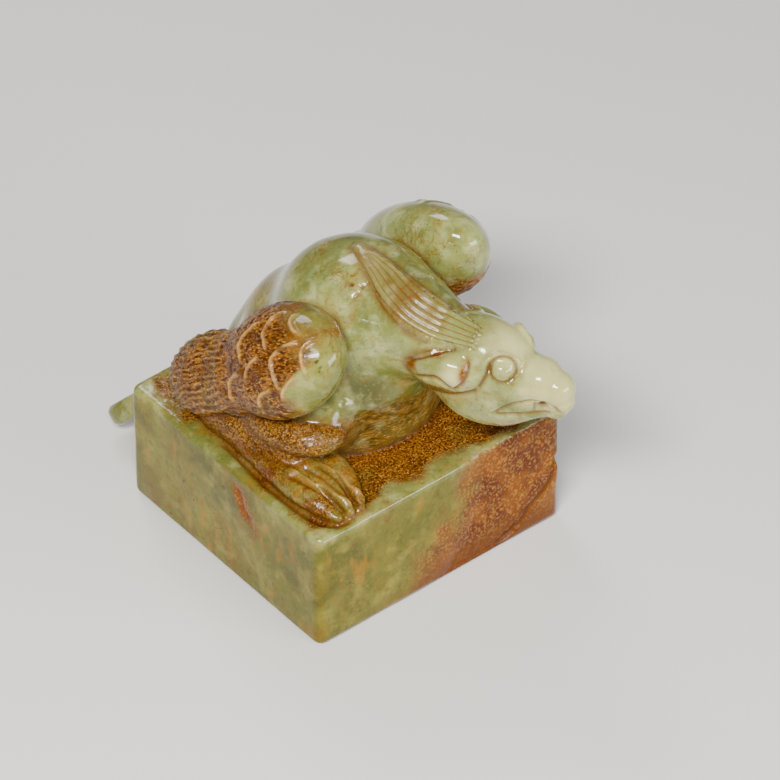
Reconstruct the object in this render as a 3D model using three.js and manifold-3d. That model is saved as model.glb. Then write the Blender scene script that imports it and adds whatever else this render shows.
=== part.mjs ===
// A jade seal: a square block with a crouching bird of prey carved on it, all one stone.
// Millimetres, +Z up. The origin is the middle of the seal face, under the block.
// The bird looks along -Y, out over the block's front edge, and its tail hangs behind, along +Y.
import * as THREE from "three";
import { mergeVertices } from "three/addons/utils/BufferGeometryUtils.js";
import Module from "manifold-3d";

const wasm = await Module();
wasm.setup();

// The block
const block = {
  width: 50,
  depth: 48.5,
  height: 22.6,
  cornerRadius: 1.6,
  edgeRadius: 1,
};
// A natural flaw breaks out at the block's corner, at this share of its height
const notch = { size: 1.9, height: 0.52 };
// The bird's height above the block. Its own places and radii are given in parts of a 36th of it.
const birdHeight = 36;
const part = birdHeight / 36;
// The tail: how far it reaches behind the block, how far it stays above the table, its width at its
// end and at its root, and its feathers
const tail = {
  reach: 16,
  clearance: 1.5,
  width: 43,
  rootWidth: 13,
  thickness: 3.6,
  feathers: 7,
  overlap: 0.3,
};
// The head is turned to the bird's left
const headTurn = THREE.MathUtils.degToRad(22);
// Locks in the crest
const lockCount = 4;

// Cell sizes of the meshes: the broad masses, the feet and the head
const broadCell = 2.7;
const legCell = 2.2;
const footCell = 1.8;
const headCell = 1.4;

// Distance fields. Each takes a point and gives how far outside the form it lies.

// A ball stretched to three radii, turned so that its first radius runs along the given direction
// and its second one faces the given side.
function lobe(at, radii, along = [0, 1, 0], facing = [1, 0, 0]) {
  const first = new THREE.Vector3(...along).normalize();
  const third = new THREE.Vector3().crossVectors(first, new THREE.Vector3(...facing)).normalize();
  const second = new THREE.Vector3().crossVectors(third, first);
  const centre = new THREE.Vector3(...at).multiplyScalar(part);
  const [a, b, c] = radii.map((r) => r * part);
  const offset = new THREE.Vector3();
  return (p) => {
    offset.subVectors(p, centre);
    const x = offset.dot(first);
    const y = offset.dot(second);
    const z = offset.dot(third);
    const near = Math.hypot(x / a, y / b, z / c);
    const steep = Math.hypot(x / (a * a), y / (b * b), z / (c * c));
    return near < 1e-6 ? -Math.min(a, b, c) : (near * (near - 1)) / steep;
  };
}

// A round limb through several points, each with its own radius
function limb(stations) {
  const points = stations.map(([x, y, z]) => new THREE.Vector3(x, y, z).multiplyScalar(part));
  const radii = stations.map((s) => s[3] * part);
  const reach = new THREE.Vector3();
  const offset = new THREE.Vector3();
  return (p) => {
    let nearest = Infinity;
    for (let i = 0; i + 1 < points.length; i++) {
      reach.subVectors(points[i + 1], points[i]);
      offset.subVectors(p, points[i]);
      const t = THREE.MathUtils.clamp(offset.dot(reach) / reach.lengthSq(), 0, 1);
      const radius = THREE.MathUtils.lerp(radii[i], radii[i + 1], t);
      nearest = Math.min(nearest, offset.addScaledVector(reach, -t).length() - radius);
    }
    return nearest;
  };
}

// Joins fields, with a fillet of about the given radius where they meet
function blend(fillet, ...fields) {
  const radius = fillet * part;
  return (p) =>
    fields.reduce((a, field) => {
      const b = field(p);
      const h = Math.max(radius - Math.abs(a - b), 0) / radius;
      return Math.min(a, b) - (h * h * radius) / 4;
    }, Infinity);
}

// Turns the skin of a field into a closed solid: one vertex in each grid cell that the skin crosses,
// moved on to the skin, and one four-sided face for each grid edge that it crosses.
function skin(field, [low, high], cell) {
  const [nx, ny, nz] = low.map((l, i) => Math.ceil((high[i] - l) / cell) + 1);
  const at = (i, j, k) => (k * ny + j) * nx + i;
  const corner = (i, j, k) =>
    new THREE.Vector3(low[0] + i * cell, low[1] + j * cell, low[2] + k * cell);
  const value = new Float32Array(nx * ny * nz);
  for (let k = 0; k < nz; k++)
    for (let j = 0; j < ny; j++)
      for (let i = 0; i < nx; i++) value[at(i, j, k)] = field(corner(i, j, k));

  const vertexOf = new Map();
  const positions = [];
  const axes = [
    [1, 0, 0],
    [0, 1, 0],
    [0, 0, 1],
  ];
  const step = 0.02;
  const probe = new THREE.Vector3();
  const slope = new THREE.Vector3();

  function vertexIn(i, j, k) {
    const key = at(i, j, k);
    if (vertexOf.has(key)) return vertexOf.get(key);
    const sum = new THREE.Vector3();
    let crossings = 0;
    for (const [axis, [dx, dy, dz]] of axes.entries())
      for (let m = 0; m < 4; m++) {
        const shift = [0, 0, 0];
        shift[(axis + 1) % 3] = m & 1;
        shift[(axis + 2) % 3] = m >> 1;
        const [x, y, z] = [i + shift[0], j + shift[1], k + shift[2]];
        const a = value[at(x, y, z)];
        const b = value[at(x + dx, y + dy, z + dz)];
        if (a < 0 === b < 0) continue;
        sum.add(corner(x, y, z).lerp(corner(x + dx, y + dy, z + dz), a / (a - b)));
        crossings++;
      }
    const vertex = sum.divideScalar(crossings);
    for (let pass = 0; pass < 3; pass++) {
      const here = field(vertex);
      slope.set(
        field(probe.copy(vertex).setX(vertex.x + step)) - here,
        field(probe.copy(vertex).setY(vertex.y + step)) - here,
        field(probe.copy(vertex).setZ(vertex.z + step)) - here,
      );
      slope.divideScalar(step);
      const full = here / Math.max(slope.lengthSq(), 0.1);
      vertex.addScaledVector(slope, -THREE.MathUtils.clamp(full, -cell / 4, cell / 4));
      vertex.clamp(corner(i, j, k), corner(i + 1, j + 1, k + 1));
    }
    vertexOf.set(key, positions.length / 3);
    positions.push(vertex.x, vertex.y, vertex.z);
    return vertexOf.get(key);
  }

  const faces = [];
  const point = (v) => new THREE.Vector3().fromArray(positions, v * 3);
  for (let k = 1; k < nz - 1; k++)
    for (let j = 1; j < ny - 1; j++)
      for (let i = 1; i < nx - 1; i++)
        for (const [axis, [dx, dy, dz]] of axes.entries()) {
          const inside = value[at(i, j, k)] < 0;
          if (inside === value[at(i + dx, j + dy, k + dz)] < 0) continue;
          const s = axes[(axis + 1) % 3];
          const t = axes[(axis + 2) % 3];
          const around = [
            [0, 0],
            [1, 0],
            [1, 1],
            [0, 1],
          ].map(([m, n]) =>
            vertexIn(i - m * s[0] - n * t[0], j - m * s[1] - n * t[1], k - m * s[2] - n * t[2]),
          );
          if (!inside) around.reverse();
          const [a, b, c, d] = around;
          if (point(a).distanceTo(point(c)) < point(b).distanceTo(point(d)))
            faces.push(a, b, c, a, c, d);
          else faces.push(a, b, d, b, c, d);
        }
  return solid(meshOf(positions, faces));
}

function meshOf(positions, faces) {
  const geometry = new THREE.BufferGeometry();
  geometry.setAttribute("position", new THREE.Float32BufferAttribute(positions, 3));
  geometry.setIndex(faces);
  return geometry;
}

// three.js geometry to a solid and back
function solid(geometry) {
  const bare = new THREE.BufferGeometry();
  bare.setAttribute("position", geometry.getAttribute("position"));
  bare.setIndex(geometry.index);
  const merged = mergeVertices(bare, 1e-4);
  return new wasm.Manifold(
    new wasm.Mesh({
      numProp: 3,
      vertProperties: new Float32Array(merged.getAttribute("position").array),
      triVerts: new Uint32Array(merged.index.array),
    }),
  );
}

function geometryOf(made) {
  const mesh = made.getMesh();
  return meshOf([...mesh.vertProperties], [...mesh.triVerts]);
}

const joined = (solids) => solids.reduce((a, b) => a.add(b));

// The block, with worn corners and edges, and the notch in the corner on the bird's left
function blockSolid() {
  const inset = block.edgeRadius;
  const w = block.width / 2 - inset;
  const d = block.depth / 2 - inset;
  const r = Math.max(block.cornerRadius - inset, 0.1);
  const outline = new THREE.Shape();
  outline.moveTo(-w + r, -d);
  outline.lineTo(w - r, -d);
  outline.absarc(w - r, -d + r, r, -Math.PI / 2, 0);
  outline.lineTo(w, d - r);
  outline.absarc(w - r, d - r, r, 0, Math.PI / 2);
  outline.lineTo(-w + r, d);
  outline.absarc(-w + r, d - r, r, Math.PI / 2, Math.PI);
  outline.lineTo(-w, -d + r);
  outline.absarc(-w + r, -d + r, r, Math.PI, (3 * Math.PI) / 2);
  const body = new THREE.ExtrudeGeometry(outline, {
    depth: block.height - 2 * inset,
    bevelEnabled: true,
    bevelThickness: inset,
    bevelSize: inset,
    bevelSegments: 2,
    curveSegments: 3,
  }).translate(0, 0, inset);
  const flaw = new THREE.SphereGeometry(notch.size, 9, 6)
    .scale(1, 1, 1.3)
    .translate(block.width / 2, -block.depth / 2, notch.height * block.height);
  return solid(body).subtract(solid(flaw));
}

// Everything of the bird is given above the middle of the block's top.

// How far the left foot is set back behind the right one
const footSetback = 5;

// Back, rump, breast and neck
function bodyField() {
  return blend(
    4,
    lobe([0.5, -2, 19.5], [13.5, 12.5, 12], [0, 1, -0.35]),
    lobe([0, 8, 8], [14, 11.5, 12], [0, 0.6, -0.8]),
    lobe([1.5, -5, 12], [10.5, 14, 11]),
    lobe([1, -1, 2], [13, 15, 8]),
    lobe([-12, 0, 8], [14, 8, 9]),
    lobe([13, 4, 8], [14, 8, 9]),
    lobe([0, 18.5, 4], [6.5, 9, 3.6], [0, 0.62, -0.78]),
    limb([
      [1.5, -6, 23.5, 8.3],
      [2.3, -13, 24, 7.8],
      [4.3, -20, 21.5, 6.8],
    ]),
  );
}

// The tail, a fan of feathers that hangs down behind the block. The middle one lies on top.
function tailSolid() {
  const half = tail.thickness / 2;
  const root = [14 * part, 8.5 * part];
  const tip = [block.depth / 2 + tail.reach - half, tail.clearance + half - block.height];
  const out = new THREE.Vector3(0, root[1] - tip[1], tip[0] - root[0]).normalize();
  const middle = (tail.feathers - 1) / 2;
  // The tips overlap a little, by a tenth of their width
  const tipHalf = (0.55 * tail.width) / tail.feathers;
  const rootHalf = 0.6 * tipHalf;
  const edge = 0.2 * tail.thickness;
  const feathers = Array.from({ length: tail.feathers }, (_, i) => {
    const share = (i - middle) / middle;
    const from = new THREE.Vector3(share * (tail.rootWidth / 2 - rootHalf), ...root);
    const to = new THREE.Vector3(share * (tail.width / 2 - tipHalf), ...tip);
    const length = from.distanceTo(to) - edge;
    const outline = new THREE.Shape();
    outline.moveTo(-rootHalf, 0);
    outline.lineTo(rootHalf, 0);
    outline.absellipse(0, length - tipHalf, tipHalf - edge, tipHalf, 0, Math.PI);
    const feather = new THREE.ExtrudeGeometry(outline, {
      depth: tail.thickness - 2 * edge,
      bevelEnabled: true,
      bevelThickness: edge,
      bevelSize: edge,
      bevelSegments: 1,
      curveSegments: 6,
    }).translate(0, 0, edge - half);
    const along = to.clone().sub(from).normalize();
    const across = along.clone().cross(out);
    const lift = -Math.abs(i - middle) * tail.overlap;
    const place = new THREE.Matrix4()
      .makeBasis(across, along, out)
      .setPosition(from.addScaledVector(out, lift));
    return solid(feather.applyMatrix4(place));
  });
  return joined(feathers);
}

// A folded wing: a full round shoulder, and the flight feathers behind it
function wingField(side, shoulder, feathers, shoulderLength) {
  const axis = [feathers[0] - shoulder[0], feathers[1] - shoulder[1], feathers[2] - shoulder[2]];
  const outward = [side * 0.62, -0.25, 0.7];
  // the swell that joins the shoulder to the feathers, over halfway along
  const swell = [0, 1, 2].map((i) => 0.45 * shoulder[i] + 0.55 * feathers[i] + [side * 0.5, 0, -0.5][i]);
  return blend(
    1,
    lobe(shoulder, [shoulderLength, 7, 9.2], axis, outward),
    lobe(swell, [9, 5.4, 6.9], axis, outward),
    lobe(feathers, [10.5, 5.2, 6.8], axis, outward),
  );
}

// Thigh and shank of one leg. The left foot is set back.
function legField(side, back) {
  return blend(
    1.5,
    lobe([side * 14.5, back - 5, 7.4], [10.5, 6.8, 4], [0, 1, -0.1]),
    limb([
      [side * 17.5, back + 8, 3, 5],
      [side * 17.5, back - 8, 1.5, 4],
    ]),
  );
}

// The bird's masses, each meshed by itself, so that the cuts between them stay sharp
function massSolids() {
  const room = [
    [-0.85 * birdHeight, -birdHeight, -0.5 * birdHeight],
    [0.85 * birdHeight, birdHeight, 1.15 * birdHeight],
  ];
  const broad = [
    bodyField(),
    wingField(-1, [-16.5, -5.5, 20.5], [-19, 9, 9.5], 13),
    wingField(1, [18.3, 3, 18.8], [19, 14, 9], 17.5),
  ];
  const legs = [legField(-1, 0), legField(1, footSetback)];
  return [
    ...broad.map((field) => skin(field, room, broadCell)),
    ...legs.map((field) => skin(field, room, legCell)),
  ];
}

// A round strand through several points, each with its own radius
function strand(stations, sides = 7) {
  const points = stations.map(([x, y, z]) => new THREE.Vector3(x, y, z).multiplyScalar(part));
  const radii = stations.map((s) => s[3] * part);
  const curve = new THREE.CatmullRomCurve3(points);
  const rings = 2 * (stations.length - 1);
  const frames = curve.computeFrenetFrames(rings);
  const positions = [];
  const faces = [];
  for (let i = 0; i <= rings; i++) {
    const centre = curve.getPointAt(i / rings);
    const place = curve.getUtoTmapping(i / rings) * (stations.length - 1);
    const from = Math.min(Math.floor(place), stations.length - 2);
    const radius = THREE.MathUtils.lerp(radii[from], radii[from + 1], place - from);
    for (let j = 0; j < sides; j++) {
      const angle = (2 * Math.PI * j) / sides;
      const at = centre
        .clone()
        .addScaledVector(frames.normals[i], radius * Math.cos(angle))
        .addScaledVector(frames.binormals[i], radius * Math.sin(angle));
      positions.push(at.x, at.y, at.z);
    }
  }
  const next = (j) => (j + 1) % sides;
  for (let i = 0; i < rings; i++)
    for (let j = 0; j < sides; j++) {
      const a = i * sides + j;
      const b = i * sides + next(j);
      faces.push(a, b, b + sides, a, b + sides, a + sides);
    }
  const first = points[0].clone().addScaledVector(curve.getTangentAt(0), -radii[0] / 2);
  const last = points.at(-1).clone().addScaledVector(curve.getTangentAt(1), radii.at(-1) / 2);
  positions.push(first.x, first.y, first.z, last.x, last.y, last.z);
  const end = rings * sides;
  const caps = positions.length / 3 - 2;
  for (let j = 0; j < sides; j++) {
    faces.push(caps, next(j), j);
    faces.push(caps + 1, end + j, end + next(j));
  }
  return solid(meshOf(positions, faces));
}

// The head looks over the block's edge. A place on it is given forwards of the nape, to its right
// and up.
const nape = [4.5, -19.5, 20.5];
function onHead(forward, side, up) {
  const c = Math.cos(headTurn);
  const s = Math.sin(headTurn);
  return [
    nape[0] + forward * s - side * c,
    nape[1] - forward * c - side * s,
    nape[2] + up,
  ];
}
function headwards(forward, side, up) {
  const [x, y, z] = onHead(forward, side, up);
  return [x - nape[0], y - nape[1], z - nape[2]];
}
function headLobe(forward, side, up, radii, pitch = 0.2) {
  return lobe(onHead(forward, side, up), radii, headwards(1, 0, pitch), headwards(0, 1, 0));
}
function headLimb(...stations) {
  return limb(stations.map(([f, s, u, radius]) => [...onHead(f, s, u), radius]));
}

// Skull, jaw, forehead, ear tufts, upper beak with its hook, and lower beak
function headField() {
  return blend(
    1.6,
    headLobe(5, 0, 0.4, [10.5, 6.6, 8]),
    headLobe(7.5, 0, -4.5, [9, 5.4, 6]),
    headLobe(9.8, -0.3, 3.2, [4.3, 3.9, 3.7]),
    headLobe(1.9, 6.3, 1.8, [5.4, 2.2, 3.2], 0.12),
    headLobe(1.9, -6.3, 1.8, [5.4, 2.2, 3.2], 0.12),
    headLimb(
      [12.5, 0, 0, 4.7],
      [16.5, 0, 0.8, 3.9],
      [19.4, 0, 0.4, 2.9],
      [20.3, 0, -1.6, 2.1],
      [20, 0, -3.8, 1.2],
    ),
    headLimb([11, 0, -5, 3.8], [18.5, 0, -3.4, 1.9]),
  );
}

// The head, with what is carved on it: eyes, brows and the mouth's slit
function headSolid() {
  const [x, y, z] = nape.map((v) => v * part);
  const room = [
    [x - 0.46 * birdHeight, y - 0.7 * birdHeight, z - 0.46 * birdHeight],
    [x + 0.54 * birdHeight, y + 0.3 * birdHeight, z + 0.46 * birdHeight],
  ];
  const both = (make) => [1, -1].map(make);
  const eyes = both((s) => {
    const ball = new THREE.SphereGeometry(2.1 * part, 10, 7);
    return solid(ball.translate(...onHead(11.4, s * 3.4, 3.4).map((v) => v * part)));
  });
  const brows = both((s) =>
    strand([
      [...onHead(8.4, s * 4.6, 4.2), 0.6],
      [...onHead(10.8, s * 3.9, 5.4), 1],
      [...onHead(13.4, s * 3, 4.2), 0.6],
    ]),
  );
  const mouth = both((s) =>
    strand([
      [...onHead(10.5, s * 5.1, -4.6), 0.3],
      [...onHead(14.5, s * 3.9, -2.9), 0.8],
      [...onHead(17.6, s * 2.9, -2.4), 0.9],
      [...onHead(19.2, s * 2, -2.6), 0.4],
    ]),
  );
  const raised = joined([skin(headField(), room, headCell), ...eyes, ...brows]);
  return mouth.reduce((a, b) => a.subtract(b), raised);
}

// The crest: locks of feathers side by side, from the crown back over the neck to a point
function crestSolid() {
  const outer = [
    [0.7, -2.2, 32.3],
    [1.6, -7.9, 32.3],
    [1.8, -12.5, 31.8],
    [2.6, -16.5, 30.8],
    [4.6, -20.5, 29.2],
    [5.5, -26.2, 29.5],
  ];
  const inner = [
    [0.3, -3.2, 32.3],
    [-1.7, -9.4, 31.5],
    [-2.6, -14.2, 29.9],
    [-1.8, -18.4, 28],
    [0.2, -22.3, 26.7],
    [2.6, -27.3, 27.4],
  ];
  const locks = Array.from({ length: lockCount }, (_, lock) => {
    const share = (lock + 0.5) / lockCount;
    const stations = outer.map((o, i) => {
      const radius = (4 - Math.abs(i - 2.5) / 1.5) / lockCount;
      return [...o.map((v, axis) => THREE.MathUtils.lerp(v, inner[i][axis], share)), radius];
    });
    return strand(stations, 6);
  });
  return joined(locks);
}

// One foot: an instep, and three toes that close towards their tips
function footSolid(side, back) {
  const toes = [
    { root: 21, middle: 20.6, tip: 19.2, radius: 2.2 },
    { root: 16.8, middle: 16.6, tip: 17, radius: 2.1 },
    { root: 12.8, middle: 12.9, tip: 14.9, radius: 1.9 },
  ].map(({ root, middle, tip, radius }) =>
    strand([
      [side * root, back, 1.4, 0.5 * radius],
      [side * middle, back - 9, 1.8, radius],
      [side * middle, back - 16, 1.5, 0.9 * radius],
      [side * tip, back - 22, 0.3, 0.45 * radius],
    ]),
  );
  const instep = blend(
    1,
    lobe([side * 17, back - 4, 1], [12, 4.6, 4.4]),
    lobe([side * 17, back - 12, 0], [8, 5.5, 3.2]),
  );
  const room = [
    [-0.75 * birdHeight, -0.75 * birdHeight, -0.2 * birdHeight],
    [0.75 * birdHeight, 0.45 * birdHeight, 0.25 * birdHeight],
  ];
  return joined([skin(instep, room, footCell), ...toes]);
}

const bird = joined([
  ...massSolids(),
  tailSolid(),
  headSolid(),
  crestSolid(),
  footSolid(-1, 0),
  footSolid(1, footSetback),
]);

const jade = new THREE.MeshStandardMaterial({ color: 0xa9ad78, roughness: 0.3, metalness: 0 });
const shells = blockSolid().add(bird.translate(0, 0, block.height)).decompose();
// Small gaps sealed in under the crest are filled: only the outer shell is kept
const stone = shells.reduce((a, b) => (a.volume() > b.volume() ? a : b));
const seal = new THREE.Mesh(geometryOf(stone), jade);
seal.name = "jade_seal";

const group = new THREE.Group();
group.add(seal);

export default group;
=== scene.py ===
import math
import bpy
import numpy as np
from mathutils import Matrix, Vector


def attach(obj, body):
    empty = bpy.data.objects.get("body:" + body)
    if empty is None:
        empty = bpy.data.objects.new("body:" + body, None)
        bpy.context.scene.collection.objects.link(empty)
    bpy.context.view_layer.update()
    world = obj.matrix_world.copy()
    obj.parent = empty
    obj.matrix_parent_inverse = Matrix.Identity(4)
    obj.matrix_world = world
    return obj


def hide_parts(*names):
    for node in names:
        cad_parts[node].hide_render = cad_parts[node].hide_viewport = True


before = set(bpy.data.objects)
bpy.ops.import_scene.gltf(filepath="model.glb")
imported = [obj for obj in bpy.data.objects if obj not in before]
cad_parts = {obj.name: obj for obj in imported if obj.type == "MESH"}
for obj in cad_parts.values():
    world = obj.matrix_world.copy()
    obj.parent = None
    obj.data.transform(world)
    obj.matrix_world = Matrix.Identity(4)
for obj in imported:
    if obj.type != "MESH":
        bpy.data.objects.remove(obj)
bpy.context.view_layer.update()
print("frame loaded")

# Everything is in the frame's own place and axes. Carving is worked out in millimetres, with the
# bird's heights taken from the block's top.
block = {"width": 50, "depth": 48.5, "height": 22.6, "corner": 1.6, "edge": 1.2}
tail = {
    "reach": 16, "clearance": 1.5, "width": 43, "rootWidth": 13,
    "thickness": 3.6, "feathers": 7, "step": 0.3,
}


def unit(v):
    v = np.asarray(v, float)
    return v / np.linalg.norm(v)


def smoothStep(low, high, value):
    t = np.clip((value - low) / (high - low), 0, 1)
    return t * t * (3 - 2 * t)


# A soft random field between -1 and 1, with blots of about the given size in millimetres
def softNoise(p, size, seed):
    cells = 32
    lattice = np.random.default_rng(seed).uniform(-1, 1, (cells, cells, cells))
    q = p / size
    cell = np.floor(q).astype(int)
    t = q - cell
    t = t * t * (3 - 2 * t)
    value = np.zeros(len(p))
    for i in (0, 1):
        for j in (0, 1):
            for k in (0, 1):
                share = (
                    np.abs(1 - i - t[:, 0]) * np.abs(1 - j - t[:, 1]) * np.abs(1 - k - t[:, 2])
                )
                corner = lattice[tuple(((cell + (i, j, k)) % cells).T)]
                value += share * corner
    return value


# A ball stretched to three radii, along one direction and facing another
def lobe(p, at, radii, along=(0, 1, 0), facing=(1, 0, 0)):
    first = unit(along)
    third = unit(np.cross(first, facing))
    second = np.cross(third, first)
    q = (p - np.array(at)) @ np.array([first, second, third]).T
    r = np.array(radii)
    near = np.linalg.norm(q / r, axis=1)
    slope = np.linalg.norm(q / (r * r), axis=1)
    return near * (near - 1) / np.maximum(slope, 1e-6)


# A tapering limb through stations of x, y, z and radius
def limb(p, stations):
    nearest = np.full(len(p), 1e3)
    for a, b in zip(stations[:-1], stations[1:]):
        a, b = np.array(a, float), np.array(b, float)
        reach = b[:3] - a[:3]
        offset = p - a[:3]
        t = np.clip(offset @ reach / (reach @ reach), 0, 1)
        gap = np.linalg.norm(offset - t[:, None] * reach, axis=1) - (a[3] + t * (b[3] - a[3]))
        nearest = np.minimum(nearest, gap)
    return nearest


def blend(fillet, *values):
    total = values[0]
    for value in values[1:]:
        h = np.maximum(fillet - np.abs(total - value), 0) / fillet
        total = np.minimum(total, value) - h * h * fillet / 4
    return total


# A smooth line through a few points
def curveThrough(points, steps=6):
    points = np.array(points, float)
    ends = np.vstack([2 * points[0] - points[1], points, 2 * points[-1] - points[-2]])
    line = []
    for i in range(1, len(ends) - 2):
        a, b, c, d = ends[i - 1], ends[i], ends[i + 1], ends[i + 2]
        for t in np.arange(steps) / steps:
            line.append(
                0.5 * (2 * b + (c - a) * t + (2 * a - 5 * b + 4 * c - d) * t**2
                       + (3 * b - a - 3 * c + d) * t**3)
            )
    line.append(ends[-2])
    return np.array(line)


# The head looks over the block's edge and to the bird's left: forwards of the nape, to the side
# that faces the camera, and up
headPlace = {"nape": (4.5, -19.5, 20.5), "turn": 22}


def onHead(forward, side, up):
    x, y, z = headPlace["nape"]
    c = math.cos(math.radians(headPlace["turn"]))
    s = math.sin(math.radians(headPlace["turn"]))
    return (x + forward * s - side * c, y - forward * c - side * s, z + up)


def headLobe(p, forward, side, up, radii, pitch=0.2):
    nape = np.array(onHead(0, 0, 0))
    along = np.array(onHead(1, 0, pitch)) - nape
    return lobe(p, onHead(forward, side, up), radii, along, np.array(onHead(0, 1, 0)) - nape)


def headLimb(p, *stations):
    return limb(p, [(*onHead(f, s, u), r) for f, s, u, r in stations])


def bodyForm(p):
    return blend(
        4,
        lobe(p, (0.5, -2, 19.5), (13.5, 12.5, 12), (0, 1, -0.35)),
        lobe(p, (0, 8, 8), (14, 11.5, 12), (0, 0.6, -0.8)),
        lobe(p, (1.5, -5, 12), (10.5, 14, 11)),
        lobe(p, (1, -1, 2), (13, 15, 8)),
        lobe(p, (-12, 0, 8), (14, 8, 9)),
        lobe(p, (13, 4, 8), (14, 8, 9)),
        lobe(p, (0, 18.5, 4), (6.5, 9, 3.6), (0, 0.62, -0.78)),
        limb(p, [(1.5, -6, 23.5, 8.3), (2.3, -13, 24, 7.8), (4.3, -20, 21.5, 6.8)]),
    )


nearWing = {
    "side": -1, "shoulder": (-16.5, -5.5, 20.5), "feathers": (-19, 9, 9.5), "length": 13, "stroke": 0.95,
}
farWing = {"side": 1, "shoulder": (18.3, 3, 18.8), "feathers": (19, 14, 9), "length": 17.5}


def wingOutward(wing):
    return (wing["side"] * 0.62, -0.25, 0.7)


# A wing: its round shoulder, the swell behind it and the narrower flight feathers
def wingForm(p, wing):
    shoulder, feathers = np.array(wing["shoulder"]), np.array(wing["feathers"])
    swell = 0.45 * shoulder + 0.55 * feathers + (wing["side"] * 0.5, 0, -0.5)
    axis, outward = feathers - shoulder, wingOutward(wing)
    return blend(
        1,
        lobe(p, shoulder, (wing["length"], 7, 9.2), axis, outward),
        lobe(p, swell, (9, 5.4, 6.9), axis, outward),
        lobe(p, feathers, (10.5, 5.2, 6.8), axis, outward),
    )


# Where points lie along a wing, from its shoulder backwards, and across it
def wingPlace(p, wing):
    along = unit(np.subtract(wing["feathers"], wing["shoulder"]))
    across = unit(np.cross(along, unit(wingOutward(wing))))
    q = p - np.array(wing["shoulder"])
    return q @ along, q @ across


def legForm(p, side, back):
    return blend(
        1.5,
        lobe(p, (side * 14.5, back - 5, 7.4), (10.5, 6.8, 4), (0, 1, -0.1)),
        limb(p, [(side * 17.5, back + 8, 3, 5), (side * 17.5, back - 8, 1.5, 4)]),
    )


# How far out each toe starts, runs and ends, and its radius
toes = ((21, 20.6, 19.2, 2.2), (16.8, 16.6, 17, 2.1), (12.8, 12.9, 14.9, 1.9))


def footForm(p, side, back):
    form = blend(
        1,
        lobe(p, (side * 17, back - 4, 1), (12, 4.6, 4.4)),
        lobe(p, (side * 17, back - 12, 0), (8, 5.5, 3.2)),
    )
    for root, middle, tip, radius in toes:
        toe = curveThrough([
            (side * root, back, 1.4, 0.5 * radius),
            (side * middle, back - 9, 1.8, radius),
            (side * middle, back - 16, 1.5, 0.9 * radius),
            (side * tip, back - 22, 0.3, 0.45 * radius),
        ], 3)
        form = blend(0.5, form, limb(p, toe))
    return form


eye = {"ball": 2.1, "at": (11.4, 3.4, 3.4), "ring": 2.15}


def headForm(p):
    skull = blend(
        1.6,
        headLobe(p, 5, 0, 0.4, (10.5, 6.6, 8)),
        headLobe(p, 7.5, 0, -4.5, (9, 5.4, 6)),
        headLobe(p, 9.8, -0.3, 3.2, (4.3, 3.9, 3.7)),
        headLobe(p, 1.9, 6.3, 1.8, (5.4, 2.2, 3.2), 0.12),
        headLobe(p, 1.9, -6.3, 1.8, (5.4, 2.2, 3.2), 0.12),
        headLimb(p, (12.5, 0, 0, 4.7), (16.5, 0, 0.8, 3.9), (19.4, 0, 0.4, 2.9),
                 (20.3, 0, -1.6, 2.1), (20, 0, -3.8, 1.2)),
        headLimb(p, (11, 0, -5, 3.8), (18.5, 0, -3.4, 1.9)),
    )
    for s in (1, -1):
        f, side, up = eye["at"]
        ball = np.linalg.norm(p - np.array(onHead(f, s * side, up)), axis=1) - eye["ball"]
        skull = blend(0.4, skull, ball)
    return skull


# The crest: a band of locks from the crown back over the neck, wide in its middle
crest = {
    "outer": [(0.7, -2.2, 32.3), (1.6, -7.9, 32.3), (1.8, -12.5, 31.8), (2.6, -16.5, 30.8),
              (4.6, -20.5, 29.2), (5.5, -26.2, 29.5)],
    "inner": [(0.3, -3.2, 32.3), (-1.7, -9.4, 31.5), (-2.6, -14.2, 29.9), (-1.8, -18.4, 28),
              (0.2, -22.3, 26.7), (2.6, -27.3, 27.4)],
    "thick": 0.85,
    "locks": 5,
    "groove": 0.3,
}


# For each point: its distance from the band, its place across it from -1 to 1, and the half width
def crestPlace(p):
    outer, inner = curveThrough(crest["outer"], 9), curveThrough(crest["inner"], 9)
    thick = crest["thick"] * smoothStep(1.04, 0.8, np.arange(len(outer)) / len(outer))
    middles, halves = (outer + inner) / 2, (outer - inner) / 2
    nearest = np.full(len(p), 1e3)
    closest = np.full(len(p), 1e3)
    across = np.zeros(len(p))
    wide = np.zeros(len(p))
    for i in range(len(outer) - 1):
        a, b = middles[i], middles[i + 1]
        t = np.clip((p - a) @ (b - a) / ((b - a) @ (b - a)), 0, 1)[:, None]
        offset = p - a - t * (b - a)
        half = halves[i] + t * (halves[i + 1] - halves[i])
        width = np.linalg.norm(half, axis=1)
        share = np.einsum("ij,ij->i", offset, half) / width**2
        held = np.clip(share, -1, 1)[:, None]
        gap = np.linalg.norm(offset - held * half, axis=1) - thick[i]
        nearest = np.minimum(nearest, gap)
        fromMiddle = np.linalg.norm(offset, axis=1)
        closer = fromMiddle < closest
        closest[closer] = fromMiddle[closer]
        across[closer] = share[closer]
        wide[closer] = width[closer]
    return nearest, across, wide


def crestForm(p):
    return crestPlace(p)[0]


def blockForm(p):
    c, e = block["corner"], block["edge"]
    x = np.abs(p[:, 0]) - block["width"] / 2 + c
    y = np.abs(p[:, 1]) - block["depth"] / 2 + c
    plan = np.hypot(np.maximum(x, 0), np.maximum(y, 0)) + np.minimum(np.maximum(x, y), 0) - c + e
    z = np.abs(p[:, 2] + block["height"] / 2) - block["height"] / 2 + e
    return np.hypot(np.maximum(plan, 0), np.maximum(z, 0)) + np.minimum(np.maximum(plan, z), 0) - e


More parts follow.
